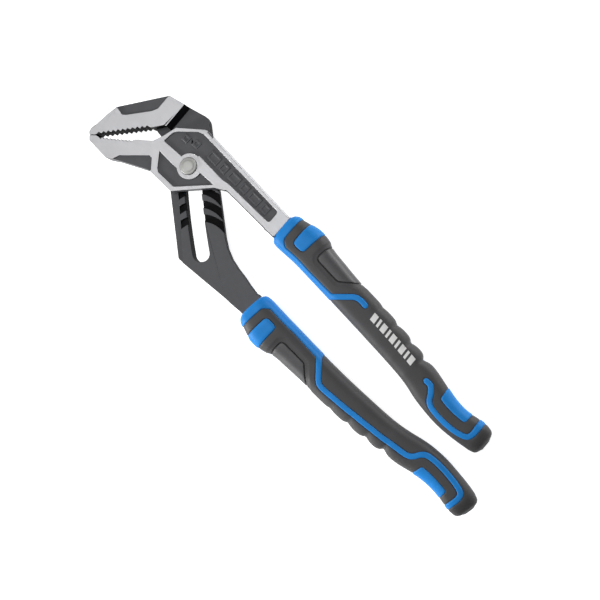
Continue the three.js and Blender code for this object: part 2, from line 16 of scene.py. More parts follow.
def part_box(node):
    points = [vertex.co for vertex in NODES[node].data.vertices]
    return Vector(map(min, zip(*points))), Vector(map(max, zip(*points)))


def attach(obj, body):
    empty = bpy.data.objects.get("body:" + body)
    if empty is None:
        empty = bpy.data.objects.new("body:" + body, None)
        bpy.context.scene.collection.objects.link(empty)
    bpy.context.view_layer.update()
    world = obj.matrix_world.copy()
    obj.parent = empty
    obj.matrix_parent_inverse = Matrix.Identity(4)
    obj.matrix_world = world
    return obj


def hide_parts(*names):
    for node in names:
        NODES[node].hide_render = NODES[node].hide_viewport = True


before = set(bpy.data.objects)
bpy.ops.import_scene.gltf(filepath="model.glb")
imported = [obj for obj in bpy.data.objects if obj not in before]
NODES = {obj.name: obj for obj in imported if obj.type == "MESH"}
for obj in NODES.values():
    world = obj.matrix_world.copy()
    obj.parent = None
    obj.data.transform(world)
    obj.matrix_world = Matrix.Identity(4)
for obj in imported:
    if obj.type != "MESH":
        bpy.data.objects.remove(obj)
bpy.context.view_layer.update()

MM = 0.001
NUT_BACK = -10.0  # the nut's back face, the lowest point of the tool
BOLT_LOW, BOLT_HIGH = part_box("pivot_bolt")
PIVOT = Vector(
    (
        (BOLT_LOW.x + BOLT_HIGH.x) / 2,
        (BOLT_LOW.y + BOLT_HIGH.y) / 2,
        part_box("pivot_nut")[0].z - NUT_BACK * MM,
    )
)


def at(x, y, z):
    """A place on the tool, in millimetres, as a place in the frame."""
    return PIVOT + Vector((x, y, z)) * MM


# ---------------------------------------------------------------- materials
class Finish:
    """A material on the Principled shader, with short calls for the nodes that drive it."""

    def __init__(self, name, **constants):
        self.material = bpy.data.materials.new(name)
        self.material.use_nodes = True
        self.tree = self.material.node_tree
        self.shader = self.tree.nodes["Principled BSDF"]
        for socket, value in constants.items():
            self.shader.inputs[socket.replace("_", " ")].default_value = value
        self.place = self.node("ShaderNodeTexCoord").outputs["Object"]

    def node(self, kind, **settings):
        """A new node of the kind, with its settings."""
        made = self.tree.nodes.new(kind)
        for name, value in settings.items():
            setattr(made, name, value)
        return made

    def link(self, source, target):
        self.tree.links.new(source, target)

    def noise(self, size, detail=2.0, roughness=0.5, stretch=None):
        """Noise with features about size millimetres across."""
        made = self.node("ShaderNodeTexNoise")
        made.inputs["Scale"].default_value = 1 / (size * MM)
        made.inputs["Detail"].default_value = detail
        made.inputs["Roughness"].default_value = roughness
        self.link(self.mapped(stretch), made.inputs["Vector"])
        return made.outputs["Fac"]

    def mapped(self, stretch):
        """The object's coordinates, turned and stretched by (angle, factors) where given."""
        if stretch is None:
            return self.place
        angle, factors = stretch
        made = self.node("ShaderNodeMapping", vector_type="TEXTURE")
        made.inputs["Rotation"].default_value = (0, 0, angle)
        made.inputs["Scale"].default_value = factors
        self.link(self.place, made.inputs["Vector"])
        return made.outputs["Vector"]

    def cells(self, size):
        """Rounded cells about size millimetres across."""
        made = self.node("ShaderNodeTexVoronoi")
        made.inputs["Scale"].default_value = 1 / (size * MM)
        self.link(self.place, made.inputs["Vector"])
        return made.outputs["Distance"]

    def remap(self, value, from_low, from_high, to_low=0, to_high=1):
        """A value's range stretched to another range, and held inside it."""
        made = self.node("ShaderNodeMapRange")
        for name, number in zip(
            ("From Min", "From Max", "To Min", "To Max"),
            (from_low, from_high, to_low, to_high),
        ):
            made.inputs[name].default_value = number
        self.link(value, made.inputs["Value"])
        return made.outputs["Result"]

    def combine(self, operation, first, second):
        """Arithmetic on two values, each a number or a socket."""
        made = self.node("ShaderNodeMath", operation=operation)
        for socket, value in zip(made.inputs, (first, second)):
            if isinstance(value, (int, float)):
                socket.default_value = value
            else:
                self.link(value, socket)
        return made.outputs["Value"]

    def blend(self, amount, first, second):
        """A mix of two colours, each a tuple or a socket."""
        made = self.node("ShaderNodeMix", data_type="RGBA")
        self.link(amount, made.inputs[0])
        for socket, value in zip(made.inputs[6:8], (first, second)):
            if isinstance(value, tuple):
                socket.default_value = (*value, 1)
            else:
                self.link(value, socket)
        return made.outputs[2]

    def colour(self, value):
        self.link(value, self.shader.inputs["Base Color"])

    def rough(self, value):
        self.link(value, self.shader.inputs["Roughness"])

    def relief(self, *layers):
        """Bump from layers of (height, strength, depth in millimetres), one over the other."""
        normal = None
        for height, strength, depth in layers:
            made = self.node("ShaderNodeBump")
            made.inputs["Strength"].default_value = strength
            made.inputs["Distance"].default_value = depth * MM
            self.link(height, made.inputs["Height"])
            if normal is not None:
                self.link(normal, made.inputs["Normal"])
            normal = made.outputs["Normal"]
        self.link(normal, self.shader.inputs["Normal"])


def shade(colour, factor):
    """A colour made darker or lighter."""
    return tuple(channel * factor for channel in colour)


def blasted_steel():
    """Bead-blasted steel: bright, even, with a fine frosted grain and faint handling marks."""
    look = Finish("blasted_steel", Metallic=0.55)
    base = (0.45, 0.45, 0.465)
    grain = look.noise(0.28, 3, 0.7)
    cloud = look.noise(9, 3, 0.55)
    scuffs = look.noise(0.5, 2, 0.6, stretch=(-0.1, (14, 1, 1)))
    tone = look.blend(look.remap(cloud, 0.35, 0.65), shade(base, 0.95), shade(base, 1.04))
    speck = look.remap(grain, 0.3, 0.7)
    look.colour(look.blend(speck, shade(base, 0.93), tone))
    worn = look.remap(scuffs, 0.3, 0.7, 0.4, 0.5)
    look.rough(look.combine("ADD", worn, look.remap(grain, 0.3, 0.7, -0.04, 0.06)))
    look.relief((grain, 0.3, 0.05), (scuffs, 0.06, 0.05))
    return look.material


def dark_coat():
    """Dark satin coating on forged steel, with the forging's soft unevenness under it."""
    look = Finish("dark_coat", Metallic=0.0, Specular_IOR_Level=0.4)
    base = (0.052, 0.053, 0.059)
    fine = look.noise(0.35, 3, 0.65)
    broad = look.noise(4, 3, 0.5)
    tone = look.blend(look.remap(broad, 0.3, 0.7), shade(base, 0.88), shade(base, 1.12))
    look.colour(look.blend(look.remap(fine, 0.35, 0.7), tone, shade(base, 1.25)))
    look.rough(look.remap(fine, 0.3, 0.7, 0.42, 0.56))
    look.relief((broad, 0.15, 0.3), (fine, 0.3, 0.06))
    return look.material


def oxide_and_painted_shade():
    """Blackened steel on the flanks, the teeth and the channels, rough from the forge, made near black
    as painted shade for the faces turned from the light.
    """
    look = Finish("oxide_and_painted_shade", Metallic=0.0, Specular_IOR_Level=0.04)
    base = (0.007, 0.007, 0.008)
    fine = look.noise(0.4, 3, 0.7)
    pits = look.cells(0.9)
    look.colour(look.blend(look.remap(fine, 0.35, 0.7), shade(base, 0.7), shade(base, 1.7)))
    look.rough(look.remap(pits, 0, 0.6, 0.62, 0.48))
    look.relief((pits, 0.12, 0.1), (fine, 0.35, 0.07))
    return look.material


def bolt_steel():
    """Turned steel: faint rings round the bolt's axis over a satin surface."""
    look = Finish("bolt_steel", Metallic=0.4)
    base = (0.42, 0.42, 0.405)
    centred = look.node("ShaderNodeMapping", vector_type="POINT")
    centred.inputs["Location"].default_value = -PIVOT
    look.link(look.place, centred.inputs["Vector"])
    rings = look.node("ShaderNodeTexWave", wave_type="RINGS", rings_direction="Z")
    rings.inputs["Scale"].default_value = 1 / (2.2 * MM)
    rings.inputs["Distortion"].default_value = 0.6
    rings.inputs["Detail"].default_value = 2
    look.link(centred.outputs["Vector"], rings.inputs["Vector"])
    turning = rings.outputs["Fac"]
    grain = look.noise(0.3, 3, 0.7)
    look.colour(look.blend(turning, shade(base, 0.94), shade(base, 1.04)))
    look.rough(look.remap(grain, 0.3, 0.7, 0.44, 0.56))
    look.relief((turning, 0.1, 0.04), (grain, 0.2, 0.04))
    return look.material


def black_rubber():
    """Soft moulded rubber: near black, matte, with a fine leathery grain."""
    look = Finish("black_rubber", Metallic=0.0, Specular_IOR_Level=0.42)
    base = (0.047, 0.0465, 0.049)
    grain = look.noise(0.45, 4, 0.65)
    cells = look.cells(0.7)
    cloud = look.noise(14, 3, 0.5)
    tone = look.blend(look.remap(cloud, 0.3, 0.7), shade(base, 0.9), shade(base, 1.1))
    look.colour(look.blend(look.remap(grain, 0.4, 0.75), tone, shade(base, 1.3)))
    look.rough(look.remap(grain, 0.3, 0.7, 0.52, 0.68))
    look.relief((cells, 0.12, 0.12), (grain, 0.25, 0.08))
    return look.material


def grey_rubber():
    """The thumb pad: a harder, slightly glossier and finer rubber than the sleeve."""
    look = Finish("grey_rubber", Metallic=0.0, Specular_IOR_Level=0.5)
    base = (0.056, 0.056, 0.0595)
    grain = look.noise(0.3, 3, 0.6)
    cloud = look.noise(6, 3, 0.5)
    tone = look.blend(look.remap(cloud, 0.3, 0.7), shade(base, 0.9), shade(base, 1.12))
    look.colour(look.blend(look.remap(grain, 0.4, 0.75), tone, shade(base, 1.25)))
    look.rough(look.remap(grain, 0.3, 0.7, 0.42, 0.54))
    look.relief((grain, 0.2, 0.06))
    return look.material


def blue_plastic():
    """Blue moulded plastic, satin, with a slight mottle in the pigment."""
    look = Finish("blue_plastic", Metallic=0.0, Specular_IOR_Level=0.12)
    base = (0.018, 0.215, 0.6)
    grain = look.noise(0.5, 3, 0.6)
    cloud = look.noise(8, 3, 0.5)
    tone = look.blend(look.remap(cloud, 0.3, 0.7), shade(base, 0.93), shade(base, 1.07))
    look.colour(look.blend(look.remap(grain, 0.45, 0.8), tone, shade(base, 1.15)))
    look.rough(look.remap(grain, 0.3, 0.7, 0.4, 0.52))
    look.relief((grain, 0.16, 0.07))
    return look.material


def core_plastic():
    """Hard black plastic of the cores under the soft skins."""
    look = Finish("core_plastic", Metallic=0.0)
    base = (0.016, 0.016, 0.018)
    grain = look.noise(1.2, 3, 0.6)
    look.colour(look.blend(grain, shade(base, 0.8), shade(base, 1.4)))
    look.rough(look.remap(grain, 0.3, 0.7, 0.5, 0.65))
    look.relief((grain, 0.1, 0.1))
    return look.material


def white_ink():
    """Printed ink: off-white, satin, slightly uneven."""
    look = Finish("white_ink", Metallic=0.0)
    grain = look.noise(0.35, 3, 0.6)
    look.colour(look.blend(grain, (0.68, 0.68, 0.68), (0.8, 0.8, 0.79)))
    look.rough(look.remap(grain, 0.3, 0.7, 0.4, 0.5))
    look.relief((grain, 0.1, 0.03))
    return look.material


BLASTED = blasted_steel()
COAT = dark_coat()
OXIDE_AND_SHADE = oxide_and_painted_shade()
BOLT = bolt_steel()
RUBBER = black_rubber()
PAD = grey_rubber()
BLUE = blue_plastic()
CORE = core_plastic()
INK = white_ink()


# ---------------------------------------------------------------- pieces
def piece(name, mesh, body, materials, replaced=()):
    """An object that rides on a body, in place of the CAD nodes that it replaces."""
    made = bpy.data.objects.new(name, mesh)
    bpy.context.scene.collection.objects.link(made)
    for material in materials:
        mesh.materials.append(material)
    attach(made, body)
    if replaced:
        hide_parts(*replaced)
    return made


def smooth(mesh, angle):
    """Smooth shading, with sharp edges where faces meet at more than angle degrees."""
    mesh.shade_smooth()
    mesh.set_sharp_from_angle(angle=math.radians(angle))


def mesh_of(name, points, faces):
    """A mesh from points on the tool in millimetres, with its faces turned outwards."""
    made = bpy.data.meshes.new(name)
    placed = np.asarray(points, float) * MM + np.array(PIVOT)
    made.from_pydata(placed.tolist(), [], [list(map(int, f)) for f in faces])
    work = bmesh.new()
    work.from_mesh(made)
    bmesh.ops.remove_doubles(work, verts=work.verts, dist=1e-7)
    bmesh.ops.recalc_face_normals(work, faces=work.faces)
    work.to_mesh(made)
    work.free()
    return made


# ---------------------------------------------------------------- forgings
# the black place is blackened steel, darkened further as painted shade
BRIGHT, DARK, BLACK_SHADE = range(3)  # places of a forging's materials
FACE = 6.0  # height of the jaws' front faces, and depth of their back faces
RECESS_FLOOR = 5.1
CHANNEL_FLOOR = -1.95
ARM_TOP = 3.5  # the rear forging's flat faces are coated dark below this height
JAW_BACK_END = -27.0  # behind the tool, the bright jaw faces end at this x
# the second width rounds an edge in the black material, as a painted shade line
WIDE_BEVEL, SHADE_LINE_BEVEL, FINE_BEVEL = 0.75, 0.45, 0.2
SHARP = math.radians(28)  # edges that turn by more than this are rounded


def forging(node, name, body, kind_of, wide_edge, shade_line_edge):
    """The CAD forging again, with rounded edges and its finish chosen face by face, painted shade
    included.
    """
    work = bmesh.new()
    work.from_mesh(NODES[node].data)
    bmesh.ops.remove_doubles(work, verts=work.verts, dist=2e-6)
    bmesh.ops.dissolve_limit(
        work, angle_limit=math.radians(0.5), verts=work.verts, edges=work.edges
    )
    bmesh.ops.bisect_plane(
        work,
        geom=work.verts[:] + work.edges[:] + work.faces[:],
        dist=1e-7,
        plane_co=at(JAW_BACK_END, 0, 0),
        plane_no=(1, 0, 0),
    )
    for face in work.faces:
        centre = (face.calc_center_median() - PIVOT) / MM
        heights = [(v.co.z - PIVOT.z) / MM for v in face.verts]
        face.material_index = kind_of(centre, face.normal, min(heights), max(heights))
    bevel(work, chosen_edges(work, wide_edge), WIDE_BEVEL, 1)
    # painted shade: these edges are rounded in black, a dark line where shade falls along the edge
    bevel(work, chosen_edges(work, shade_line_edge), SHADE_LINE_BEVEL, 1, BLACK_SHADE)
    sharp = [e for e in work.edges if len(e.link_faces) == 2 and e.calc_face_angle(0) > SHARP]
    bevel(work, sharp, FINE_BEVEL, 2)
    mesh = bpy.data.meshes.new(name)
    work.to_mesh(mesh)
    work.free()
    smooth(mesh, 40)
    made = piece(name, mesh, body, [BLASTED, COAT, OXIDE_AND_SHADE], [node])
    made.modifiers.new("even_normals", "WEIGHTED_NORMAL").keep_sharp = True
    return made


def chosen_edges(work, choice):
    """The edges with both ends where the choice says, in millimetres on the tool."""
    return [e for e in work.edges if all(choice((v.co - PIVOT) / MM) for v in e.verts)]


def bevel(work, edges, width, segments, material=-1):
    """Rounds edges by a width in millimetres, in the material of the faces beside them or in one."""
    bmesh.ops.bevel(
        work,
        geom=edges,
        offset=width * MM,
        offset_type="OFFSET",
        segments=segments,
        profile=0.6,
        affect="EDGES",
        clamp_overlap=False,
        material=material,
    )


def front_kind(centre, normal, low, high):
    """The front forging's finish: bright on its faces and the handle's outer flank, dark elsewhere."""
    if normal.z > 0.9 and centre.z > FACE - 0.1:
        return BRIGHT
    if normal.y > 0.9 and centre.x > 0 and high > FACE - 0.1:
        return BRIGHT
    if normal.z < -0.9 and centre.z < 0.1 - FACE:
        return BRIGHT
    return DARK


def rear_kind(centre, normal, low, high):
    """The rear forging's finish: bright jaw faces, a dark coated arm, black channels and flanks whose
    black is partly painted shade.
    """
    if normal.z > 0.9 and centre.z > FACE - 0.1:
        return BRIGHT
    if low > RECESS_FLOOR - 0.2:
        return DARK
    # painted shade: the channel floors are black for the shadow that lies in the grooves
    if normal.z > 0.9 and CHANNEL_FLOOR - 0.1 < centre.z < CHANNEL_FLOOR + 0.1:
        return BLACK_SHADE
    if normal.z < -0.9 and low < 0.1 - FACE and centre.x < JAW_BACK_END:
        return BRIGHT
    if centre.x < JAW_BACK_END and normal.y - normal.x > 0.3:
        return DARK
    if abs(normal.z) > 0.7 and high < ARM_TOP:
        return DARK
    # blackened steel, near black as painted shade on the flanks, teeth, ramp and slot walls that face
    # away from the light
    return BLACK_SHADE


def outer_handle_edge(point):
    """On the front edge of the upper handle's outer side."""
    return point.z > FACE - 0.1 and point.x > -7 and point.y > 22 - 0.083 * point.x


def inner_handle_edge(point):
    """On the front edge of the upper handle's inner side, where a painted shade line runs."""
    return point.z > FACE - 0.1 and point.x > 25 and point.y < 4.5


def no_edge(point):
    """The rear forging has no such edges."""
    return False


forging(
    "lower_jaw_handle", "front_forging", "front_half", front_kind,
    outer_handle_edge, inner_handle_edge,
)
forging(
    "upper_jaw_handle", "rear_forging", "rear_half", rear_kind, no_edge, no_edge,
)


# ---------------------------------------------------------------- grip curves
def through(points, steps=60):
    """A fine polyline along the smooth curve through the given points."""
    known = np.array(points, float)
    padded = np.vstack([known[:1], known, known[-1:]])
    share = np.linspace(0, 1, steps, endpoint=False)[:, None]
    parts = []
    for p0, p1, p2, p3 in zip(padded, padded[1:], padded[2:], padded[3:]):
        v0, v1 = (p2 - p0) / 2, (p3 - p1) / 2
        cubic = 2 * p1 - 2 * p2 + v0 + v1
        square = 3 * p2 - 3 * p1 - 2 * v0 - v1
        parts.append(cubic * share**3 + square * share**2 + v0 * share + p1)
    return np.vstack([*parts, known[-1:]])


def profile(stops):
    """A smooth function of the station through stops (station, value), level at both ends."""
    places = np.array([stop[0] for stop in stops], float)
    values = np.array([stop[1] for stop in stops], float)
    secants = np.diff(values) / np.diff(places)
    slopes = np.concatenate([[0], (secants[1:] + secants[:-1]) / 2, [0]])

    def evaluate(s):
        s = np.clip(s, places[0], places[-1])
        i = np.clip(np.searchsorted(places, s, side="right") - 1, 0, len(places) - 2)
        length = places[i + 1] - places[i]
        w = (s - places[i]) / length
        start = (1 + 2 * w) * (1 - w) ** 2 * values[i] + w * (1 - w) ** 2 * length * slopes[i]
        end = w**2 * (3 - 2 * w) * values[i + 1] + w**2 * (w - 1) * length * slopes[i + 1]
        return start + end

    return evaluate


GRIP_LENGTH = 170.0  # stations run along a grip from its collar, 0, to its tail


class Handle:
    """The middle line of a handle, its tang, and the body that its pieces ride on."""

    def __init__(self, prefix, body, outward, swell, middle, tang_widths, tang_heights):
        self.prefix = prefix
        self.body = body
        self.outward = outward
        self.swell = swell
        self.tang_widths = np.array(tang_widths, float)
        self.tang_heights = np.array(tang_heights, float)
        self.line = through(middle)
        steps = np.linalg.norm(np.diff(self.line, axis=0), axis=1)
        self.lengths = np.concatenate([[0], np.cumsum(steps)])
        self.lengths *= GRIP_LENGTH / self.lengths[-1]

    def place(self, s, t):
        """Stations and distances from the middle line, as x and y on the tool."""
        inside = np.clip(s, 0, GRIP_LENGTH)
        x, y = (np.interp(inside, self.lengths, self.line[:, k]) for k in (0, 1))
        step = 0.4
        low = np.clip(inside - step, 0, GRIP_LENGTH)
        high = np.clip(inside + step, 0, GRIP_LENGTH)
        ax, ay = (
            np.interp(high, self.lengths, self.line[:, k])
            - np.interp(low, self.lengths, self.line[:, k])
            for k in (0, 1)
        )
        length = np.hypot(ax, ay)
        ax, ay = ax / length, ay / length
        beyond = s - inside
        side = t * self.outward
        return x + ax * beyond - ay * side, y + ay * beyond + ax * side


FRONT = Handle(
    "front_grip",
    "front_half",
    1,
    -0.7,
    [
        (66.4, 9.4), (81, 9.7), (93, 8.8), (119, 5.4), (143, 3.1), (165, 0.4), (180, -2),
        (192, -5), (204, -7.4), (214, -7.9), (225, -6.8), (234, -6.4),
    ],
    [(-8, 7.45), (0.6, 7.4), (8, 5.4), (40, 4.9)],
    [(64, 0.15, 6), (66, 0.15, 6), (73, -2.8, 3), (90, -2.8, 3)],
)
REAR = Handle(
    "rear_grip",
    "rear_half",
    -1,
    0.9,
    [
        (82.7, -36.2), (95, -37.6), (108, -38.4), (131, -39), (150, -39.8), (164, -40), (185, -39.5),
        (200, -38), (212, -35.9), (222, -35.2), (232, -36), (239.6, -37.3), (251.3, -39.7),
    ],
    [(-3, 7.3), (0.6, 7.2), (8, 5.4), (40, 4.9)],
    [(67, -6, -0.15), (73, -3, 2.8), (90, -3, 2.8)],
)

outer_edge = profile(
    [
        (0, 8.6), (1, 10), (3, 11.3), (7, 12), (11, 12.9), (15.5, 13.6), (20, 13.5), (24, 12.8),
        (28, 11.6), (40, 11), (56, 10.7), (80, 10.6), (110, 10), (125, 10.1), (140, 9.5), (150, 9.2),
        (160, 9.5), (165, 9.1), (168.4, 7.2), (170, 3.4),
    ]
)
inner_edge = profile(
    [
        (0, 8.6), (1, 10), (3, 10.7), (7, 11), (25, 10.9), (50, 9.9), (80, 9.8), (110, 9.3),
        (125, 9.6), (140, 8.9), (150, 8.5), (160, 8.6), (165, 8.2), (168.4, 6.6), (170, 3.2),
    ]
)
half_thickness = profile(
    [
        (0, 6.8), (1, 8.1), (3, 8.8), (7, 9), (20, 8.8), (40, 8.4), (80, 8.1), (120, 7.8),
        (150, 7.5), (160, 7.2), (165, 6.5), (168.4, 4.6), (170, 2),
    ]
)
NOTCHES = ((73.1, 0.7), (85.8, 1.3), (98.5, 1.8), (110.2, 2.5))
SWELL_PLACE, SWELL_LENGTH = 12.0, 9.0  # of the collar's swell
NOTCH_BEFORE, NOTCH_AFTER = 1.7, 3.0  # how far a notch's steep and gentle sides run
ROUNDNESS = 2 / 2.7  # power that turns a circle into the grip's squarer section


def edge_of(hand, s):
    """The outer edge with its finger notches and the collar's swell."""
    edge = outer_edge(s) + hand.swell * np.exp(-(((s - SWELL_PLACE) / SWELL_LENGTH) ** 2))
    for place, depth in NOTCHES:
        reach = np.where(s < place, NOTCH_BEFORE, NOTCH_AFTER)
        edge = edge - depth * np.exp(-((np.abs(s - place) / reach) ** 1.3))
    return edge


def bend(value):
    """A sine or cosine, bent so that a circle becomes the grip's section."""
    return np.sign(value) * np.abs(value) ** ROUNDNESS


# ---------------------------------------------------------------- grip zones
STRIPE = 3.3  # width of the blue stripes


def rounded(corners, steps=6):
    """A closed outline through corners (s, t, radius), rounded where a radius is given."""
    points = []
    count = len(corners)
    for i, corner in enumerate(corners):
        here = np.array(corner[:2], float)
        radius = corner[2] if len(corner) > 2 else 0
        before = np.array(corners[i - 1][:2]) - here
        after = np.array(corners[(i + 1) % count][:2]) - here
        before /= np.linalg.norm(before)
        after /= np.linalg.norm(after)
        turn = math.pi - math.acos(np.clip(before @ after, -1, 1))
        reach = radius * math.tan(turn / 2)
        if not radius:
            points.append(here)
            continue
        start, end = here + before * reach, here + after * reach
        for w in np.linspace(0, 1, steps):
            points.append((1 - w) ** 2 * start + 2 * w * (1 - w) * here + w**2 * end)
    return np.array(points)


def distance_to_line(s, t, line):
    """Distance from each place to a polyline."""
    best = np.full(s.shape, np.inf)
    for (ax, ay), (bx, by) in zip(line[:-1], line[1:]):
        dx, dy = bx - ax, by - ay
        along = ((s - ax) * dx + (t - ay) * dy) / (dx * dx + dy * dy + 1e-12)
        along = np.clip(along, 0, 1)
        best = np.minimum(best, np.hypot(s - ax - along * dx, t - ay - along * dy))
    return best


def distance_to_area(s, t, area):
    """Distance from each place to an outline, negative inside it."""
    closed = np.vstack([area, area[:1]])
    inside = np.zeros(s.shape, bool)
    for (ax, ay), (bx, by) in zip(closed[:-1], closed[1:]):
        if ay == by:
            continue
        crossing = ax + (t - ay) * (bx - ax) / (by - ay)
        inside ^= ((ay > t) != (by > t)) & (s < crossing)
    away = distance_to_line(s, t, closed)
    return np.where(inside, -away, away)


COLLAR_AND_RAIL = rounded(
    [
        (-3, 16), (5.6, 16), (5.8, -4.6, 2.5), (9, -7.7, 2), (30, -7.6), (48.6, -6.3), (51.6, -16),
        (-3, -16),
    ]
)
HOOK = through([(66.5, 3.7), (62.3, 3.8), (58.8, 2.5), (54.4, -2), (49.6, -7.4), (46.5, -11)], 8)
LONG_STRIPE = through(
    [
        (46.5, -11), (49.6, -7.4), (54.4, -2), (58.6, 2.6), (62.4, 4), (70, 3.6), (85, 2.8),
        (100, 2.2), (115, 2), (123, 2.2), (126.6, 0.6), (129.4, -2.4), (133, -4.1), (143, -4),
        (153, -3.6), (158.4, -2.7), (160.4, 0.4), (160.6, 6), (160.6, 14),
    ],
    8,
)
TAIL_LOOP = through(
    [
        (120.6, 2.2), (124, 2.8), (127.6, 0.4), (130.6, -2.8), (134.4, -4.4), (143, -4.4), (153, -3.9),
        (158.4, -2.7), (160.4, 0.4), (160.6, 6), (160.6, 14),
    ],
    8,
)
BUTTON = rounded([(11.2, -3.2, 3), (19.8, -3.2, 3), (20, 18), (11, 18)])
THUMB_PAD = rounded(
    [(28.4, 16), (27.3, 8, 2), (27.4, 0.3, 2.5), (45.4, 1, 2.5), (57.5, 13), (57.5, 16)]
)
TAIL_PATCH = rounded([(128.6, 16), (133.5, 3, 1.5), (153.4, 3.4, 1.5), (154.8, 16)])


def stripes(s, t, hook_side, stripe_side):
    """Distance to the coloured stripes, with the ones on one face only kept to that face."""
    away = distance_to_area(s, t, COLLAR_AND_RAIL)
    for line, side in ((HOOK, hook_side), (TAIL_LOOP, hook_side), (LONG_STRIPE, stripe_side)):
        near = distance_to_line(s, t, line) - STRIPE / 2
        away = np.where(side, np.minimum(away, near), away)
    return away


# Height over the grip's base surface against the distance from a zone's edge, negative inside.
RAISED_ZONE = ((-0.8, 0.28), (-0.4, 0.2), (-0.12, 0.02), (0, -0.25), (0.3, -0.1), (0.7, 0))
ZONE_HEIGHTS = {
    "collar_stripe": RAISED_ZONE,
    "button": ((-1.6, 0.3), (-0.6, 0.18), (-0.15, -0.05), (0, -0.4), (0.35, -0.1), (0.8, 0)),
    "thumb_pad": (
        (-1.2, -0.3), (-0.5, -0.38), (-0.32, -0.95), (0, -1.1), (0.32, -0.95), (0.5, -0.45),
        (1.9, -0.3), (3.2, 0),
    ),
    "tail_patch": RAISED_ZONE,
}
BASE_INSET = 0.3  # the sleeve's surface inside the part's own, so that raised zones stay within it
SKIN_INSET = 2.0  # inner side of the moulded skin


